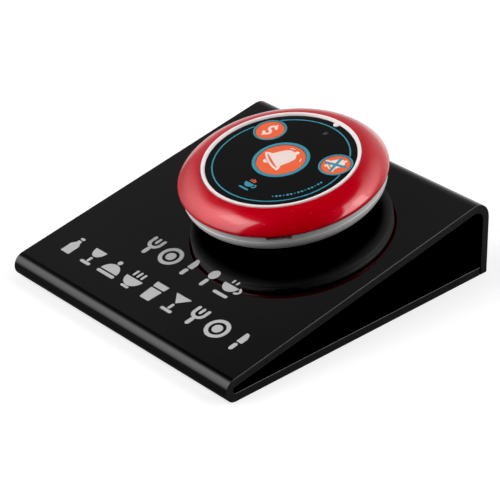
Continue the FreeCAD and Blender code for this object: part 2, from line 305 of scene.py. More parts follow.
def block(x, y, length, width, low, high, edge=0.0):
    """Box centred on x, y; edge is the radius of its edges."""
    bm = bmesh.new()
    bmesh.ops.create_cube(bm, size=1)
    bmesh.ops.scale(bm, vec=(length, width, high - low), verts=bm.verts)
    bmesh.ops.translate(bm, vec=(x, y, (low + high) / 2), verts=bm.verts)
    if edge:
        rounded(bm, bm.edges[:], edge, 2)
    return bm


def rod(x, y, radius, low, high, segments=128):
    """Round rod along the unit's axis, centred on x, y."""
    bm = bmesh.new()
    bmesh.ops.create_cone(bm, cap_ends=True, segments=segments, radius1=radius, radius2=radius,
                          depth=high - low)
    bmesh.ops.translate(bm, vec=(x, y, (low + high) / 2), verts=bm.verts)
    return bm


def moved(bm, matrix):
    """The same body at another place."""
    bmesh.ops.transform(bm, matrix=matrix, verts=bm.verts)
    return bm


def set_down(name, item):
    """Object that holds this body, lamp or camera, put into the scene."""
    if isinstance(item, bmesh.types.BMesh):
        mesh = bpy.data.meshes.new(name)
        item.to_mesh(mesh)
        item.free()
        item = mesh
    thing = bpy.data.objects.new(name, item)
    bpy.context.scene.collection.objects.link(thing)
    return thing


def worked(bm, operation, tools, fuse_self=False):
    """Body with each tool cut from it or glued to it; fuse_self melts its overlaps together."""
    body = set_down("blank", bm)
    blanks = [body]
    for tool in tools:
        blank = set_down("blank", tool)
        blanks.append(blank)
        step = body.modifiers.new("step", "BOOLEAN")
        step.operation = operation
        step.solver = "EXACT"
        step.use_self = fuse_self
        step.object = blank
    result = bmesh.new()
    result.from_object(body, bpy.context.evaluated_depsgraph_get())
    for blank in blanks:
        mesh = blank.data
        bpy.data.objects.remove(blank)
        bpy.data.meshes.remove(mesh)
    bmesh.ops.remove_doubles(result, verts=result.verts, dist=WELD)
    return result


def finished(name, bm, place, slot, coat=None, body=CARRIER, stands_for=(), sharp_deg=32.0):
    """The piece itself, in metres and in the frame, riding on its body.

    Its finish is that of its slot, unless it is a coat of another one.
    """
    piece = set_down(name, moved(bm, place))
    piece.data.shade_smooth()
    piece.data.set_sharp_from_angle(angle=math.radians(sharp_deg))
    piece.data.materials.append(coat or FINISHES[slot])
    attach(piece, body)
    if stands_for:
        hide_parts(*stands_for)


# ---------------------------------------------------------------- finishes

class Amount:
    """A value that changes over a surface; sums with it add their Math nodes."""

    def __init__(self, wiring, socket):
        self.wiring = wiring
        self.socket = socket

    def sum(self, operation, first, second):
        """One Math node."""
        return self.wiring.node("ShaderNodeMath", {"operation": operation}, {0: first, 1: second})

    def __add__(self, other):
        return self.sum("ADD", self, other)

    def __sub__(self, other):
        return self.sum("SUBTRACT", self, other)

    def __rsub__(self, other):
        return self.sum("SUBTRACT", other, self)

    def __mul__(self, other):
        return self.sum("MULTIPLY", self, other)

    def __gt__(self, other):
        return self.sum("GREATER_THAN", self, other)

    def __lt__(self, other):
        return self.sum("LESS_THAN", self, other)

    __radd__ = __add__
    __rmul__ = __mul__


class Wiring:
    """Node tree that is being laid out."""

    def __init__(self, tree):
        self.tree = tree

    def node(self, kind, settings=None, sockets=None, output=0):
        """Adds one node: its settings first, then the values or links of its sockets."""
        node = self.tree.nodes.new(kind)
        for name, value in (settings or {}).items():
            if name == "stops":
                self.set_stops(node.color_ramp.elements, value)
            else:
                setattr(node, name, value)
        for socket, value in (sockets or {}).items():
            self.feed(node.inputs[socket], value)
        return Amount(self, node.outputs[output])

    def set_stops(self, ramp, stops):
        """Stops of a ramp, from its low end to its high end."""
        ramp.remove(ramp[1])
        ramp[0].position, ramp[0].color = stops[0]
        for position, colour in stops[1:]:
            ramp.new(position).color = colour

    def feed(self, socket, value):
        """Links the socket to a changing value, or sets it to a plain one."""
        if isinstance(value, Amount):
            self.tree.links.new(value.socket, socket)
        else:
            socket.default_value = value


class Finish(Wiring):
    """A finish under way: one shader and what feeds it."""

    def __init__(self, name, **constants):
        self.material = bpy.data.materials.new(name)
        self.material.use_nodes = True
        super().__init__(self.material.node_tree)
        self.shader = self.tree.nodes["Principled BSDF"]
        self.where = self.node("ShaderNodeTexCoord", output="Object")
        for words, value in constants.items():
            self.wear(words, value)

    def wear(self, words, value):
        """Sets or feeds a socket of the shader; base_color means Base Color."""
        name = words.replace("_", " ").title().replace("Ior", "IOR")
        self.feed(self.shader.inputs[name], value)

    def noise(self, scale, detail, roughness=0.5):
        """Soft clouds; roughness is how strongly the fine ones show."""
        return self.node("ShaderNodeTexNoise", {}, {
            "Vector": self.where, "Scale": scale, "Detail": detail, "Roughness": roughness})

    def streaks(self, stretch, scale=1.0, detail=2.0):
        """Clouds drawn out into lines."""
        drawn = self.node("ShaderNodeMapping", {}, {"Vector": self.where, "Scale": stretch})
        return self.node("ShaderNodeTexNoise", {}, {
            "Vector": drawn, "Scale": scale, "Detail": detail})

    def grains(self, scale, output="Distance", randomness=1.0):
        """Cells of a grain: how far a point is from its cell's middle, or the cell's colour."""
        return self.node("ShaderNodeTexVoronoi", {}, {
            "Vector": self.where, "Scale": scale, "Randomness": randomness}, output=output)

    def lots(self, scale):
        """One random value for each cell of a grain."""
        return self.node("ShaderNodeSeparateColor", {}, {"Color": self.grains(scale, "Color")})

    def across(self):
        """How far a point is to the right of the middle, in metres."""
        return self.node("ShaderNodeSeparateXYZ", {}, {"Vector": self.where})

    def between(self, mask, first, second):
        """Colour that goes from the first to the second as the mask goes from 0 to 1."""
        return self.node("ShaderNodeMix", {"data_type": "RGBA"}, {0: mask, 6: first, 7: second},
                         output=2)

    def shades(self, mask, first, second):
        """Base colour that goes from the first to the second as the mask goes from 0 to 1."""
        self.wear("base_color", self.between(mask, first, second))
        return self

    def rub(self, roughness, spread, scale, detail):
        """Roughness with clouds in it; spread is how much they add at most."""
        self.wear("roughness", roughness + self.noise(scale, detail) * spread)
        return self

    def relief(self, height, strength, depth_mm):
        """Bump of this height; the last step of a finish, which gives back its material."""
        self.wear("normal", self.node("ShaderNodeBump", {}, {
            "Height": height, "Strength": strength, "Distance": depth_mm * MM}))
        return self.material


def grey(level):
    """Neutral colour of this brightness."""
    return (level, level, level, 1.0)


def paint(red, green, blue):
    """Colour from the 0 to 255 steps of a paint card."""
    linear = [(step / 255 / 12.92) if step <= 10 else ((step / 255 + 0.055) / 1.055) ** 2.4
              for step in (red, green, blue)]
    return (*linear, 1.0)


def polished_acrylic():
    """Mirror gloss on the faces of the sheet, fine saw marks where it is cut."""
    finish = Finish("acrylic_black", ior=1.49)
    off_middle = finish.node("ShaderNodeMath", {"operation": "ABSOLUTE"}, {0: finish.across()})
    cut = off_middle > cut_face * MM
    gloss = finish.between(finish.noise(60, 3), (0.0022, 0.0022, 0.0024, 1),
                           (0.0042, 0.0042, 0.0046, 1))
    finish.shades(cut, gloss, (0.02, 0.02, 0.021, 1))
    finish.wear("roughness", 0.028 + finish.noise(220, 4, 0.6) * 0.03 + cut * 0.4)
    saw_marks = finish.streaks((1, 1, 12), 420.0)
    return finish.relief(finish.noise(45, 1) + saw_marks * cut * 1.5, 0.02, 0.2)


def sparkling_red():
    """Red paint with fine metal flakes under a clear coat, and a few coarse flakes whose glints are painted on as
    pale specks.
    """
    finish = Finish("bezel_red", ior=1.5, coat_ior=1.5, coat_roughness=0.055, coat_weight=1.0,
                    specular_ior_level=0.1)
    fine = finish.lots(3800)
    flakes = fine > 0.8
    depth = finish.between(finish.noise(60, 3), paint(194, 2, 24), paint(206, 4, 32))
    lit = finish.between(flakes * 0.35, depth, paint(224, 28, 48))
    # A few coarse flakes painted pale pink: painted glints, not a change in the paint.
    coarse_flake_glints = (finish.lots(1500) > 0.987) * (finish.grains(1500) < 0.24)
    finish.shades(coarse_flake_glints, lit, paint(240, 96, 104))
    finish.wear("metallic", 0.12 + flakes * 0.3)
    return finish.rub(0.36, 0.08, 500, 3).relief(fine, 0.06, 0.02)


def moulded_white(name, colour, roughness, yellowing):
    """Injection moulded plastic with a very fine spark-eroded grain."""
    finish = Finish(name, ior=1.5)
    finish.shades(finish.noise(70, 3), colour, yellowing).rub(roughness, 0.1, 420, 4)
    return finish.relief(finish.noise(2600, 3, 0.6), 0.08, 0.03)


def printed_film():
    """Matt polycarbonate film, printed black from behind."""
    finish = Finish("film_black", ior=1.5, specular_ior_level=0.34)
    finish.shades(finish.noise(80, 2), (0.0022, 0.0022, 0.0024, 1), (0.0034, 0.0034, 0.0037, 1))
    return finish.rub(0.2, 0.08, 700, 4).relief(finish.grains(5200), 0.1, 0.02)


def ink_finish(name, colour, worn, roughness=0.42):
    """Screen print: even ink with the faint mesh of the screen."""
    finish = Finish(name, ior=1.5)
    wear = finish.noise(1500, 4, 0.65) * 2.2 - 0.75
    patchy = finish.node("ShaderNodeClamp", {}, {"Value": wear})
    finish.shades(patchy, colour, worn)
    finish.wear("roughness", roughness + patchy * 0.1)
    return finish.relief(finish.grains(4200, randomness=0.15), 0.12, 0.015)


def key_plastic():
    """Warm orange, faintly grained."""
    finish = Finish("key_orange", ior=1.5)
    finish.shades(finish.noise(300, 3), paint(243, 98, 56), paint(248, 112, 68))
    return finish.rub(0.36, 0.1, 800, 3).relief(finish.grains(4800), 0.08, 0.02)


def plain_plastic(name, colour, second, roughness):
    """Plain moulded or ground surface with two shades and a grain."""
    finish = Finish(name)
    finish.shades(finish.noise(300, 4), colour, second).rub(roughness, 0.12, 600, 3)
    return finish.relief(finish.noise(1800, 2), 0.1, 0.03)


def metal(name, colour, second, roughness):
    """Drawn metal: fine lines along x over a cloudy tarnish."""
    finish = Finish(name, metallic=1.0)
    lines = finish.streaks((200, 4000, 4000), detail=3.0)
    finish.shades(finish.noise(400, 3), colour, second)
    finish.wear("roughness", roughness + lines * 0.15)
    return finish.relief(lines, 0.15, 0.01)


def circuit_lacquer():
    """Green solder lacquer over copper tracks on a fine grid."""
    finish = Finish("board_green", ior=1.5, coat_weight=0.4, coat_roughness=0.15)
    cells = finish.node("ShaderNodeTexVoronoi", {"distance": "CHEBYCHEV", "feature": "F1"},
                        {"Vector": finish.where, "Scale": 330.0, "Randomness": 0.6})
    tracks = (cells > 0.36) * (cells < 0.43)
    finish.shades(tracks, (0.006, 0.10, 0.035, 1), (0.03, 0.22, 0.07, 1))
    return finish.rub(0.3, 0.15, 900, 3).relief(tracks, 0.2, 0.035)


def battery_sleeve():
    """Shrink sleeve in two plain colours round the cell, bare metal at the ends."""
    finish = Finish("battery_jacket", ior=1.5)
    along = finish.across()
    second_colour = along > sleeve_change * MM
    bare = (along > sleeve_end * MM) + (along < -sleeve_end * MM)
    sleeve = finish.between(second_colour, (0.012, 0.012, 0.014, 1), (0.55, 0.36, 0.12, 1))
    finish.shades(bare, sleeve, (0.62, 0.62, 0.6, 1))
    finish.wear("metallic", bare)
    return finish.rub(0.24, 0.14, 700, 3).relief(finish.noise(500, 2), 0.08, 0.03)


def foam():
    """Closed cell foam: many small cells, with painted shade in their sunken middles."""
    finish = Finish("pad_foam")
    cells = finish.grains(1300)
    # Darker towards each cell's middle, where the bump sinks it: painted shade in the pits.
    finish.shades(cells, (0.035, 0.035, 0.036, 1), (0.1, 0.1, 0.1, 1))
    return finish.rub(0.82, 0.12, 600, 3).relief(cells, 0.5, 0.15)


def smoked_window():
    """Dark window over the lamp."""
    finish = Finish("window_clear", ior=1.5)
    finish.shades(finish.noise(900, 2), (0.035, 0.035, 0.036, 1), (0.055, 0.055, 0.056, 1))
    return finish.rub(0.22, 0.1, 1500, 3).relief(finish.noise(2000, 2), 0.06, 0.02)


def lamp_resin():
    """Milky clear resin of the lamp."""
    finish = Finish("lamp_clear", ior=1.5, transmission_weight=0.55)
    finish.shades(finish.noise(900, 2), (0.75, 0.74, 0.7, 1), (0.85, 0.84, 0.8, 1))
    return finish.rub(0.1, 0.1, 1200, 2).relief(finish.noise(1500, 2), 0.05, 0.02)


FINISHES = {
    "acrylic_black": polished_acrylic(),
    "bezel_red": sparkling_red(),
    "shell_white": moulded_white("shell_white", (0.76, 0.75, 0.75, 1), 0.3, (0.80, 0.78, 0.77, 1)),
    "housing_white": moulded_white("housing_white", (0.95, 0.86, 0.87, 1), 0.26,
                                   (0.97, 0.89, 0.89, 1)),
    "film_black": printed_film(),
    "key_orange": key_plastic(),
    "window_clear": smoked_window(),
    "lamp_clear": lamp_resin(),
    "pad_foam": foam(),
    "board_green": circuit_lacquer(),
    "battery_jacket": battery_sleeve(),
    "contact_nickel": metal("contact_nickel", (0.58, 0.56, 0.5, 1), (0.66, 0.64, 0.58, 1), 0.22),
    "can_metal": metal("can_metal", (0.6, 0.6, 0.6, 1), (0.7, 0.7, 0.7, 1), 0.2),
    "antenna_copper": metal("antenna_copper", (0.72, 0.33, 0.2, 1), (0.6, 0.24, 0.14, 1), 0.26),
    "chip_black": plain_plastic("chip_black", (0.012, 0.012, 0.013, 1), (0.02, 0.02, 0.02, 1), 0.5),
    "component_ceramic": plain_plastic("component_ceramic", (0.42, 0.33, 0.22, 1),
                                       (0.5, 0.4, 0.28, 1), 0.4),
    "switch_black": plain_plastic("switch_black", (0.014, 0.014, 0.015, 1),
                                  (0.024, 0.024, 0.025, 1), 0.38),
    "plunger_white": plain_plastic("plunger_white", (0.74, 0.74, 0.72, 1),
                                   (0.8, 0.8, 0.78, 1), 0.36),
}
SILVER_INK = ink_finish("silver_ink", (0.50, 0.50, 0.505, 1), (0.58, 0.58, 0.585, 1), 0.38)
CYAN_INK = ink_finish("cyan_ink", paint(54, 144, 166), paint(66, 156, 178))
WHITE_INK = ink_finish("white_ink", paint(246, 222, 216), paint(252, 232, 226))
ORANGE_INK = ink_finish("orange_ink", paint(236, 100, 62), paint(244, 116, 78))


# ---------------------------------------------------------------- stand

def acrylic_stand():
    """The sheet is run out from the free end of the floor plate: flat, fold, slope, bend, back."""
    low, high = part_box("acrylic_stand")
    front, back, width = low.y / MM, high.y / MM, (high.x - low.x) / MM
    slope = math.radians(slope_deg)
    fold = Vector((0, front + fold_radius, fold_radius))
    bend_y = back - bend_radius
    bend = Vector((0, bend_y, fold.z + (bend_y - fold.y) * math.tan(slope)
                   + (fold_radius - bend_radius) / math.cos(slope)))
    uphill = Vector((0, math.cos(slope), math.sin(slope)))
    normal = Vector((0, -math.sin(slope), math.cos(slope)))

    bm = bmesh.new()
    end = [bm.verts.new((-width / 2, back - sheet - seam_gap, level)) for level in (0, sheet)]
    bm.edges.new(end)

    def run(line, vector):
        """Straight run of the sheet's section, with a crease near both ends."""
        for share in (crease, vector.length - 2 * crease, crease):
            grown = bmesh.ops.extrude_edge_only(bm, edges=[line])["geom"]
            bmesh.ops.translate(bm, vec=vector.normalized() * share, verts=points_in(grown))
            line = [edge for edge in lines_in(grown)
                    if all(vert in grown for vert in edge.verts)][0]
        return line

    def bent(line, centre, degrees, steps):
        """Bend of the sheet's section."""
        swept = bmesh.ops.spin(bm, geom=[line, *line.verts], cent=centre, axis=(1, 0, 0),
                               angle=math.radians(degrees), steps=steps, use_duplicate=False)
        return lines_in(swept["geom_last"])[0]

    line = run(bm.edges[:][0], Vector((0, fold.y - end[0].co.y, 0)))
    line = bent(line, fold, slope_deg - 180, 40)
    top_run = (bend + normal * bend_radius) - (fold + normal * fold_radius)
    line = run(line, uphill * top_run.length)
    line = bent(line, bend, -90 - slope_deg, 32)
    run(line, Vector((0, 0, -bend.z)))

    cleaned(thickened(bm, bm.faces[:], (width, 0, 0)))
    cut_edges = [edge for edge in bm.edges if len(edge.link_faces) == 2
                 and sum(abs(face.normal.x) > 0.9 for face in edge.link_faces) == 1]
    rounded(bm, cut_edges, polished_edge, 1)
    finished("bent_stand", bm, WORLD, "acrylic_black", stands_for=["acrylic_stand"], sharp_deg=15)


# ---------------------------------------------------------------- button unit

def dome_circle():
    """Centre of the arc that the red ring's top follows in section."""
    inner = Vector((bezel_inner, dome_level))
    outer = Vector((unit_radius, dome_side_level))
    chord = outer - inner
    radius = (chord.length ** 2 / 4 + dome_bulge ** 2) / (2 * dome_bulge)
    return (inner + outer) / 2 - Vector((-chord.y, chord.x)).normalized() * (radius - dome_bulge)


def red_ring():
    """Domed ring, hollow below, with the four beaded tongues that snap into the shell."""
    centre = dome_circle()
    top = Vector((bezel_inner, dome_level)) - centre
    side = Vector((unit_radius, dome_side_level)) - centre
    section = Pencil(bezel_inner, shoulder_level).to(bezel_inner, dome_level, bezel_top_round)
    section.arc(centre.x, centre.y, -math.degrees(top.angle(side)), 28).corner(dome_foot_round)
    section.to(unit_radius, bezel_low, bezel_low_round).to(bezel_lip, bezel_low)
    ring = section.to(bezel_seat, shoulder_level).lathe()

    root = shoulder_level + tongue_root
    tongues = []
    for angle in quarters:
        tongue = Pencil(tongue_inner, root).to(tongue_inner, tongue_low)
        tongue.to(tongue_outer, tongue_low).to(tongue_outer, bead_level - bead_height / 2)
        tongue.to(tongue_outer + bead_reach, bead_level)
        tongue.to(tongue_outer, bead_level + bead_height / 2).to(tongue_outer, root)
        tongues.append(moved(tongue.slab(tongue_width), turn_z(angle)))
    finished("red_ring", worked(ring, "UNION", tongues), UNIT, "bezel_red",
             stands_for=["bezel_ring"])


def white_shell():
    """Bowl on its foot, with cradle and ribs inside and its recess, notch and pockets cut."""
    bowl_width = shell_radius - foot_radius
    bowl_height = band_level - bowl_level
    section = Pencil(0, base_gap).to(foot_radius, base_gap, foot_round).to(foot_radius, bowl_level)
    section.arc(foot_radius, band_level, 90, 26, stretch=bowl_width / bowl_height)
    section.to(shell_radius - band_groove, band_level + band_groove)
    section.to(shell_radius, band_level + 2 * band_groove)
    section.to(shell_radius, shell_rim_level, rim_round).to(shell_inner, shell_rim_level, rim_round)
    section.to(shell_inner, wall_turn_level, wall_turn_round)
    section.to(floor_radius, floor_level, floor_round).to(0, floor_level)
    shell = section.lathe(closed=False)

    inside = []
    for x in (-cradle_reach, cradle_reach):
        lying = Matrix.Translation((x, cell_y, cell_level)) @ Matrix.Rotation(math.pi / 2, 4, "Y")
        rib = block(x, cell_y, *cradle_rib, cradle_low, cradle_top)
        inside.append(worked(rib, "DIFFERENCE", [moved(rod(0, 0, cell_room, -5, 5), lying)]))
    for angle in rib_angles:
        rib = block(shoulder_radius - rib_length / 2, 0, rib_length, rib_width, rib_low,
                    shoulder_low)
        inside.append(moved(rib, turn_z(angle)))
    shell = worked(shell, "UNION", inside)

    half = bead_height / 2 + pocket_room
    notch = block(shell_radius, 0, notch_reach, notch_width, shell_rim_level - notch_depth,
                  shell_rim_level + notch_depth, rim_round)
    cuts = [block(0, 0, recess_side, recess_side, 0, pad_height), moved(notch, turn_z(notch_angle))]
    for angle in quarters:
        pocket = Pencil(tongue_outer, bead_level - half)
        pocket.to(tongue_outer + bead_reach + pocket_room, bead_level)
        pocket = pocket.to(tongue_outer, bead_level + half).slab(tongue_width + 2 * pocket_room)
        cuts.append(moved(pocket, turn_z(angle)))
    finished("white_shell", worked(shell, "DIFFERENCE", cuts), UNIT, "shell_white",
             stands_for=["bottom_shell"])


def openings(lamp_room, low, high):
    """Rods that open the deck or the film for the keys and the lamp."""
    rods = [rod(place.x, place.y, radius + key_gap, low, high) for place, radius in KEYS.values()]
    return [*rods, rod(LAMP.x, LAMP.y, window_radius + lamp_room, low, high, 64)]


def white_housing():
    """Shoulder, ring and deck in one moulding, with the tab and the clips for the board."""
    section = Pencil(0, deck_low).to(housing_inner, deck_low).to(housing_inner, shoulder_low)
    section.to(shoulder_radius, shoulder_low).to(shoulder_radius, shoulder_level)
    section.to(ring_outer, shoulder_level).to(ring_outer, ring_level, ring_round)
    section.to(ring_inner + ring_lean, ring_level, ring_round).to(ring_lip, label_level + ink)
    section.to(ring_inner, label_level + ink).to(ring_inner, deck_top).to(0, deck_top)

    root = (deck_low + deck_top) / 2
    tab = Pencil(0, root).to(tab_radius, root).to(tab_radius, tab_level, tab_round).to(0, tab_level)
    tab_place = turn_z(tab_angle) @ Matrix.Translation((tab_reach, 0, 0))
    glued = [moved(tab.lathe(64, closed=False), tab_place)]
    grip = board_low - board_play
    for angle in quarters:
        clip = Pencil(clip_ledge, root).to(clip_ledge, board_top).to(housing_inner, board_top)
        clip.to(housing_inner, grip).to(clip_lip, grip).to(clip_lip, clip_low)
        clip.to(ring_outer, clip_low).to(ring_outer, root)
        glued.append(moved(clip.slab(clip_width), turn_z(angle)))
    housing = worked(section.lathe(closed=False), "UNION", glued)
    finished("white_housing", worked(housing, "DIFFERENCE", openings(0, *deck_cut)), UNIT,
             "housing_white", stands_for=["upper_housing"])


def label_film():
    """Film that fills the white ring, with openings for the keys, the lamp and the tab."""
    section = Pencil(0, deck_top).to(film_radius, deck_top)
    film = section.to(film_radius, label_level).to(0, label_level).lathe(closed=False)
    tab_opening = rod(tab_reach, 0, tab_radius + film_gap, *film_cut, 64)
    cuts = [*openings(film_gap, *film_cut), moved(tab_opening, turn_z(tab_angle))]
    film = worked(film, "DIFFERENCE", cuts)
    finished("label_film", film, UNIT, "film_black", stands_for=["label_overlay"])


def keys():
    """Round caps, each with three lugs that hold it under the deck."""
    for name, (place, radius) in KEYS.items():
        section = Pencil(0, key_low).to(radius, key_low).to(radius, label_level, key_edge)
        section.to(radius - 3 * key_edge, label_level).to(0, label_level)
        lugs = [moved(block(radius, 0, lug_length, lug_width, key_low, lug_top), turn_z(angle))
                for angle in lug_angles]
        cap = worked(section.lathe(160, closed=False), "UNION", lugs)
        finished(name + "_key_cap", cap, UNIT @ Matrix.Translation(place), "key_orange",
                 body=name + "_key", stands_for=["key_" + name])


# ---------------------------------------------------------------- prints

class Stencil:
    """Flat marks, cut one by one and laid together as a thin coat of ink."""

    def __init__(self):
        self.bm = bmesh.new()
        self.put(0, 0)

    def put(self, x, y, degrees=0.0, size=1.0):
        """Where the next marks go, how they are turned, and their size."""
        self.place = Matrix.Translation((x, y, 0)) @ turn_z(degrees) @ Matrix.Scale(size, 4)
        return self

    def cut(self, verts, inner=Matrix()):
        """Moves a mark that is drawn round the origin to where it goes."""
        bmesh.ops.transform(self.bm, matrix=self.place @ inner, verts=verts)
        return self

    def round_blank(self, radius, segments):
        """Filled circle round the origin."""
        return bmesh.ops.create_circle(self.bm, cap_ends=True, radius=radius,
                                       segments=segments)["verts"]

    def disc(self, x, y, radius, stretch=1.0, segments=48):
        """Filled circle, or an oval where it is stretched along y."""
        verts = self.round_blank(radius, segments)
        bmesh.ops.scale(self.bm, vec=(1, stretch, 1), verts=verts)
        return self.cut(verts, Matrix.Translation((x, y, 0)))

    def bowl(self, x, y, radius, degrees=0.0, stretch=1.0):
        """Half disc that hangs below its centre; 180 degrees makes it a dome."""
        verts = self.round_blank(radius, 64)
        face = verts[0].link_faces[0]
        cutting = bmesh.ops.bisect_plane(self.bm, geom=[face, *face.edges, *verts], dist=0.00001,
                                         plane_co=(0, 0, 0), plane_no=(0, 1, 0), clear_outer=True)
        kept = list({vert for item in cutting["geom"]
                     if item.is_valid and isinstance(item, bmesh.types.BMFace)
                     for vert in item.verts})
        bmesh.ops.scale(self.bm, vec=(1, stretch, 1), verts=kept)
        return self.cut(kept, Matrix.Translation((x, y, 0)) @ turn_z(degrees))

    def bar(self, x, y, to_x, to_y, width):
        """Stroke with round ends."""
        line = Vector((to_x - x, to_y - y, 0))
        verts = self.round_blank(width / 2, 24)
        bmesh.ops.rotate(self.bm, matrix=Matrix.Rotation(math.pi / 24, 3, "Z"), verts=verts)
        bmesh.ops.translate(self.bm, vec=(line.length, 0, 0),
                            verts=[vert for vert in verts if vert.co.x > 0])
        heading = math.degrees(math.atan2(line.y, line.x))
        return self.cut(verts, Matrix.Translation((x, y, 0)) @ turn_z(heading))

    def arc(self, x, y, radius, start, sweep, width):
        """Curved stroke; a sweep of 360 is a ring."""
        ends = [self.bm.verts.new((radius + side * width / 2, 0, 0)) for side in (-1, 1)]
        edge = self.bm.edges.new(ends)
        before = set(self.bm.verts) - set(ends)
        steps = max(6, int(sweep * max(1.0, math.sqrt(radius / 6)) / 4))
        bmesh.ops.spin(self.bm, geom=[edge, *ends], cent=(0, 0, 0), axis=(0, 0, 1),
                       angle=math.radians(sweep), steps=steps, use_merge=sweep == 360,
                       use_duplicate=False)
        verts = [vert for vert in self.bm.verts if vert not in before]
        return self.cut(verts, Matrix.Translation((x, y, 0)) @ turn_z(start))

    def patch(self, *corners, rounding):
        """Filled shape with straight sides, its corners rounded."""
        before = set(self.bm.verts)
        verts = [self.bm.verts.new((x, y, 0)) for x, y in corners]
        self.bm.faces.new(verts)
        rounded(self.bm, verts, rounding, 4, affect="VERTICES")
        return self.cut([vert for vert in self.bm.verts if vert not in before])

    def lay(self, name, coat, slot, body=CARRIER, level=label_level, thickness=ink):
        """Makes the marks a coat of ink on the unit at this level, fused where they overlap."""
        thickened(self.bm, self.bm.faces[:], (0, 0, thickness))
        bmesh.ops.recalc_face_normals(self.bm, faces=self.bm.faces)
        print_bed = block(0, 0, 200, 200, -1, 1)
        fused = worked(self.bm, "INTERSECT", [print_bed], fuse_self=True)
        finished(name, fused, UNIT @ Matrix.Translation((0, 0, level)), slot, coat=coat, body=body)


# Each sign is drawn about 10 mm high, round its own middle.

def fork(mark):
    mark.bar(0, -4.1, 0, -2.0, 1.9).arc(0, 2.0, 2.5, 180, 180, 1.5)
    mark.bar(-2.5, 2.6, -2.5, 4.3, 1.5).bar(2.5, 2.6, 2.5, 4.3, 1.5).bar(0, 2.2, 0, 4.3, 1.3)


def plate(mark):
    mark.arc(0, 0, 4.15, 0, 360, 1.6).disc(0, 0, 2.1)


def knife(mark):
    mark.bar(0, -4.1, 0, -2.1, 1.9)
    mark.patch((-1.1, -0.5), (1.6, -0.5), (1.6, 2.6), (0.5, 4.6), (-1.1, 5.0), rounding=0.4)


def spoon(mark):
    mark.disc(0, 2.4, 2.05, stretch=1.25).bar(0, -4.1, 0, -1.5, 1.8)


def cup_body(mark):
    mark.bowl(-0.8, 2.2, 3.7).arc(3.2, 0.9, 1.35, -110, 200, 1.0)


def cup(mark):
    cup_body(mark)
    mark.bar(-3.6, -3.9, 2.2, -3.9, 1.5)
    mark.bar(-1.9, 3.6, -1.9, 4.6, 0.9).bar(0.3, 3.6, 0.3, 4.6, 0.9)


def tumbler(mark):
    mark.patch((-2.4, -4.9), (2.4, -4.9), (2.9, 1.4), (-2.9, 1.4), rounding=0.4)
    mark.patch((-3.0, 2.2), (3.0, 2.2), (3.3, 4.9), (-3.3, 4.9), rounding=0.3)


def bottle(mark):
    mark.patch((-2.3, -4.9), (2.3, -4.9), (2.3, 0.4), (0.95, 2.1), (0.95, 3.2), (-0.95, 3.2),
               (-0.95, 2.1), (-2.3, 0.4), rounding=0.3)
    mark.bar(-0.5, 4.4, 0.5, 4.4, 1.2)


def soup(mark):
    mark.bowl(0, 0.8, 4.4).bar(-1.5, -4.4, 1.5, -4.4, 1.2)
    for x in (-2.2, 0.0, 2.2):
        mark.bar(x, 2.2, x, 4.3, 1.1)


def cloche(mark):
    mark.bowl(0, -2.4, 4.4, degrees=180).bar(-4.0, -3.9, 4.0, -3.9, 1.5).disc(0, 3.5, 1.1)


def cocktail(mark):
    mark.patch((-4.2, 4.9), (0, 0.3), (4.2, 4.9), rounding=0.35).bar(0, -0.9, 0, -2.6, 1.3)
    mark.bar(-2.2, -4.2, 2.2, -4.2, 1.4)


def goblet(mark):
    mark.bowl(0, 4.2, 3.1, stretch=1.35).bar(0, -1.2, 0, -2.7, 1.3).bar(-2.0, -4.2, 2.0, -4.2, 1.4)


def stand_print():
    """Two rows of tableware signs on the slope, in silver."""
    mark = Stencil()
    upper = (fork, plate, knife, spoon, cup)
    lower = (bottle, goblet, cloche, soup, tumbler, cocktail, fork, plate, knife)
    for y, first_x, pitch, signs in ((-50.0, -21.6, 10.8, upper), (-67.8, -46.4, 11.6, lower)):
        for step, sign in enumerate(signs):
            mark.put(first_x + step * pitch, y)
            sign(mark)
    mark.lay("stand_print", SILVER_INK, "acrylic_black", level=0.0, thickness=silver_ink)


def bell(mark):
    """Hand bell: body, knob, curved lip and clapper; its lip touches y = 0."""
    half = [(5.4, 1.9), (4.5, 3.8), (4.15, 7.3), (3.3, 9.9), (1.6, 10.9)]
    mark.patch(*[(-x, y) for x, y in half], *reversed(half), rounding=0.5)
    mark.disc(0, 11.6, 1.0, segments=24)
    mark.arc(0, 20.8, 20.3, 252, 36, 0.85)
    for side in (-1, 1):
        mark.bar(side * 6.15, 1.45, side * 5.1, 2.6, 1.0)
    mark.bowl(-1.2, -0.1, 1.3)


def film_print():
    """Thin ring, rims round the keys, row of dots and small cup in cyan, its steam in orange."""
    cyan = Stencil()
    ends = []
    for name in ("cancel", "bill"):
        place = KEYS[name][0]
        half = math.degrees(math.acos((line_radius ** 2 + place.length ** 2 - line_clear ** 2)
                                      / (2 * line_radius * place.length)))
        middle = math.degrees(math.atan2(place.y, place.x))
        ends += [middle - half, middle + half]
    cyan.arc(0, 0, line_radius, ends[1], ends[2] - ends[1], line_width)
    cyan.arc(0, 0, line_radius, ends[3], ends[0] + 360 - ends[3], line_width)
    for place, radius in KEYS.values():
        rim = call_rim if radius == call_key_radius else small_rim
        cyan.put(place.x, place.y).arc(0, 0, radius + rim_clear + rim / 2, 0, 360, rim)
    for step in range(dots):
        spot = round_the_axis(dots_start + step * dots_pitch, dots_radius)
        cyan.put(spot.x, spot.y).disc(0, 0, large_dot if step % 3 else small_dot, segments=20)
    cup_body(cyan.put(*film_cup, size=small_sign))
    cyan.bar(-3.9, -3.6, 2.6, -3.6, 1.3)
    cyan.lay("film_print_cyan", CYAN_INK, "film_black")
    steam = Stencil().put(*film_cup, size=small_sign)
    steam.bar(-2.4, 3.8, -2.4, 5.2, 0.9).bar(-0.8, 3.8, -0.8, 6.0, 0.9).bar(0.8, 3.8, 0.8, 5.2, 0.9)
    steam.lay("film_print_orange", ORANGE_INK, "film_black")


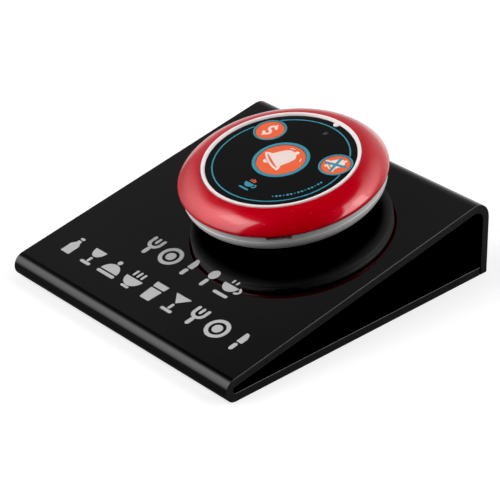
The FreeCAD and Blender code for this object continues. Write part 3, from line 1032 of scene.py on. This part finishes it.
def key_prints():
    """White signs on the keys, and the cyan cross over the last one."""
    call = Stencil().put(-2.92, -4.07, degrees=-25.1)
    bell(call)
    call.put(0, 0)
    for start in (24, 92):                       # two short strokes beside the bell
        call.arc(0, 0, 7.6, start, 16, 0.4)
    call.lay("call_key_sign", WHITE_INK, "key_orange", body="call_key")

    place = KEYS["bill"][0]
    bill = Stencil().put(place.x, place.y, degrees=-6)
    bill.arc(0, 1.35, 1.35, 10, 264, 1.15).arc(0, -1.35, 1.35, -170, 264, 1.15)
    bill.bar(0, 2.9, 0, 3.6, 0.9).bar(0, -2.9, 0, -3.6, 0.9)
    bill.lay("bill_key_sign", WHITE_INK, "key_orange", body="bill_key")

    place = KEYS["cancel"][0]
    cancel = Stencil().put(place.x - 1.9, place.y - 2.6, degrees=-29, size=small_sign)
    bell(cancel)
    cancel.lay("cancel_key_sign", WHITE_INK, "key_orange", body="cancel_key")
    cross = Stencil().put(place.x, place.y, degrees=14)
    cross.bar(-cross_arm, 0, cross_arm, 0, cross_width)
    cross.bar(0, -cross_arm, 0, cross_arm, cross_width)
    cross.lay("cancel_key_cross", CYAN_INK, "key_orange", body="cancel_key", thickness=ink * 2)


# ---------------------------------------------------------------- pieces that stay as they are

def dress_frame():
    """The other pieces keep the frame's shape and get their finish."""
    for part in frame["record"]["subparts"]:
        node = frame["nodes"][part["node"]]
        for holder in node.material_slots:
            holder.material = FINISHES[part["material_slot"]]


# ---------------------------------------------------------------- studio

CAMERA_TURN = math.radians(48.229)
CAMERA_LIFT = math.radians(30.18)
CAMERA_ROLL = math.radians(-0.954)
CAMERA_LENS = 161.26
CAMERA_DISTANCE = 0.83756
CAMERA_AIM = Vector((0.00203, -0.00196, 0.01231))
AWAY = Vector((-math.sin(CAMERA_TURN), math.cos(CAMERA_TURN), 0))     # from the camera, level
LEFTWARD = Vector((-AWAY.y, AWAY.x, 0))
LIT_POINT = Vector((0, 0.02, 0.03))                                   # what the softboxes face
CARD_REACH = 6.0                                                      # half a card's side
TABLE_DROP = 0.0005                                                   # table below the floor
BLACK_LEVEL = 0.007


def studio_card(name, level, shade, glow, behind=CARD_REACH):
    """Large flat card that lies level; behind is how far it goes on behind the object."""
    bm = bmesh.new()
    bmesh.ops.create_grid(bm, x_segments=1, y_segments=1, size=CARD_REACH)
    bmesh.ops.rotate(bm, matrix=Matrix.Rotation(CAMERA_TURN, 3, "Z"), verts=bm.verts)
    bmesh.ops.translate(bm, vec=AWAY * (behind - CARD_REACH) + Vector((0, 0, level)),
                        verts=bm.verts)
    card = set_down(name, bm)
    finish = Finish(name, roughness=0.9, emission_color=grey(1.0), emission_strength=glow)
    finish.shades(finish.noise(3, 2), grey(shade), grey(shade + 0.03))
    card.data.materials.append(finish.material)
    return card


def studio_floor():
    """White sheet that is seen, over a grey table that keeps its glare off the gloss."""
    floor = studio_card("white_floor", level=0.0, shade=0.45, glow=0.66)
    floor.visible_diffuse = floor.visible_glossy = False
    floor.visible_transmission = floor.visible_shadow = False
    table = studio_card("grey_table", level=-TABLE_DROP, shade=0.14, glow=0.0, behind=0.15)
    table.visible_camera = False


def studio_tent():
    """Dark tent with a tall soft window on each side and a low bright wall behind.

    Each row of stops is a place and a strength. Places round the tent are degrees to the left of
    straight ahead, and places up the tent are the sine of the height. A window that leans moves
    round the tent as it goes up. The blind takes its share away from the left window overhead.
    """
    plumb_height = 0.59             # here a leaning window stands where its stops say
    dark_cloth = 0.03
    world = bpy.data.worlds.new("studio_tent")
    bpy.context.scene.world = world
    world.use_nodes = True
    tent = Wiring(world.node_tree)
    where = tent.node("ShaderNodeTexCoord", output="Generated")

    def along(axis):
        """How far a direction points along this axis."""
        return tent.node("ShaderNodeVectorMath", {"operation": "DOT_PRODUCT"}, {0: where, 1: axis},
                         output="Value")

    around = tent.node("ShaderNodeMath", {"operation": "ARCTAN2"},
                       {0: along(LEFTWARD), 1: along(AWAY)})
    turn = around * (0.5 / math.pi) + 0.5
    height = along(Vector((0, 0, 1)))

    def window(strength, round_stops, up_stops, lean=0.0):
        """Brightness that its stops give, round the tent times up the tent."""
        sideways = [(degrees / 360 + 0.5, grey(value)) for degrees, value in round_stops]
        upwards = [(place, grey(value)) for place, value in up_stops]
        beside = tent.node("ShaderNodeValToRGB", {"stops": sideways},
                           {"Fac": turn + (plumb_height - height) * lean})
        above = tent.node("ShaderNodeValToRGB", {"stops": upwards}, {"Fac": height})
        return beside * above * strength

    left = window(4.6, ((20, 0.0), (38, 0.28), (56, 0.52), (72, 0.75), (90, 0.95), (124, 1.0),
                        (128, 0.0)),
                  ((0.0, 0.16), (0.1, 0.26), (0.25, 0.5), (0.5, 0.7), (0.6, 0.78), (0.72, 1.0),
                   (0.81, 0.92), (0.86, 0.0)))
    blind = window(0.9, ((5, 0.0), (20, 1.0), (52, 1.0), (78, 0.0)),
                   ((0.56, 0.0), (0.7, 1.0), (1.0, 1.0)))
    right = window(5.7, ((-128, 0.0), (-123, 1.0), (-95, 0.75), (-78, 0.5), (-62, 0.3), (-46, 0.14),
                         (-28, 0.0)),
                   ((0.0, 0.04), (0.3, 0.1), (0.43, 0.25), (0.5, 0.95), (0.62, 1.0), (0.8, 0.66),
                    (0.86, 0.0)), lean=0.128)
    wall = window(1.0, ((-100, 0.0), (-75, 0.3), (-50, 1.3), (-25, 1.05), (-10, 0.55), (19, 0.55),
                        (25, 0.05), (42, 0.05), (60, 0.3), (100, 0.0)),
                  ((0.0, 1.5), (0.1, 1.2), (0.2, 0.75), (0.4, 0.6), (0.68, 0.42), (0.78, 0.1),
                   (0.9, 0.0)))
    cloth = world.node_tree.nodes["Background"]
    tent.feed(cloth.inputs["Color"], grey(1.0))
    tent.feed(cloth.inputs["Strength"], left * (1 - blind) + right + wall + dark_cloth)


def softbox(name, azimuth, elevation, distance, width, height, watts):
    """Soft light in this direction from the object, counted from +X towards +Y."""
    light = bpy.data.lights.new(name, "AREA")
    light.shape = "RECTANGLE"
    light.size = width
    light.size_y = height
    light.energy = watts
    lamp = set_down(name, light)
    turn = math.radians(azimuth)
    lift = math.radians(elevation)
    towards = Vector((math.cos(turn) * math.cos(lift), math.sin(turn) * math.cos(lift),
                      math.sin(lift)))
    lamp.location = LIT_POINT + towards * distance
    lamp.rotation_mode = "QUATERNION"
    lamp.rotation_quaternion = towards.to_track_quat("Z", "Y")


def studio_camera():
    """Long lens that looks down on the stand's front right corner."""
    camera = set_down("camera", bpy.data.cameras.new("camera"))
    camera.data.sensor_width = 36.0
    camera.data.lens = CAMERA_LENS
    camera.data.clip_end = 20.0
    right = Vector((math.cos(CAMERA_TURN), math.sin(CAMERA_TURN), 0))
    ahead = AWAY * math.cos(CAMERA_LIFT) - Vector((0, 0, math.sin(CAMERA_LIFT)))
    up = right.cross(ahead)
    across = right * math.cos(CAMERA_ROLL) + up * math.sin(CAMERA_ROLL)
    upright = up * math.cos(CAMERA_ROLL) - right * math.sin(CAMERA_ROLL)
    camera.matrix_world = (Matrix.Translation(CAMERA_AIM - ahead * CAMERA_DISTANCE)
                           @ Matrix((across, upright, -ahead)).transposed().to_4x4())
    bpy.context.scene.camera = camera


def studio():
    """Floor, tent, softboxes, display and camera."""
    studio_floor()
    studio_tent()
    softbox("left_softbox", azimuth=-119, elevation=49, distance=1.3, width=0.48, height=0.5,
            watts=0.9)
    softbox("right_softbox", azimuth=39, elevation=39, distance=1.3, width=0.32, height=0.42,
            watts=1.1)
    display = bpy.context.scene.view_settings
    display.view_transform = "Standard"
    display.use_curve_mapping = True
    display.curve_mapping.black_level = (BLACK_LEVEL, BLACK_LEVEL, BLACK_LEVEL)
    display.curve_mapping.update()
    studio_camera()


acrylic_stand()
red_ring()
white_shell()
white_housing()
label_film()
keys()
stand_print()
film_print()
key_prints()
dress_frame()
studio()
